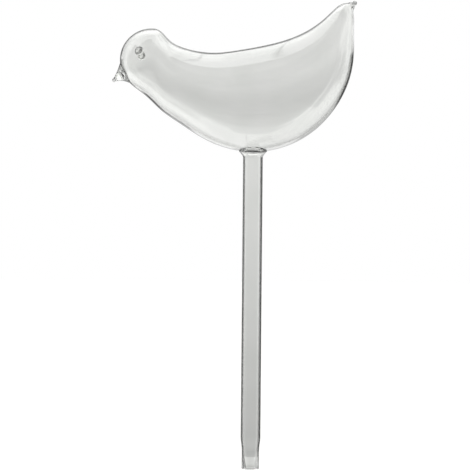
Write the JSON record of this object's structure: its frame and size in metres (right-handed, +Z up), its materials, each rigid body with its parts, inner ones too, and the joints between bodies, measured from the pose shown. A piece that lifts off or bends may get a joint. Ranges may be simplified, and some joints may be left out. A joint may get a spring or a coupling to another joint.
{
  "type": "watering globe",
  "caption": "Clear blown-glass watering globe in the form of a small bird on a straight glass tube that stands in potting soil and drips water from its tip.",
  "frame": {"origin": "centre of the drip hole in the end of the tube", "axes": "+Z up the tube towards the bird, -X towards the beak, +X towards the tail, +Y away from the camera, which is to the left for someone who faces the beak"},
  "size_m": [0.1232, 0.046, 0.2363],
  "materials": {
    "shell_glass": "clear, thin, fire-polished",
    "tube_glass": "clear drawn tube",
    "solid_glass": "clear, thick, fire-polished"
  },
  "bodies": {
    "root": {"bird_body": "shell_glass", "neck_collar": "solid_glass", "stem_tube": "tube_glass", "beak": "solid_glass", "eye_left": "solid_glass", "eye_right": "solid_glass", "tail_nub": "solid_glass"}
  },
  "joints": []
}
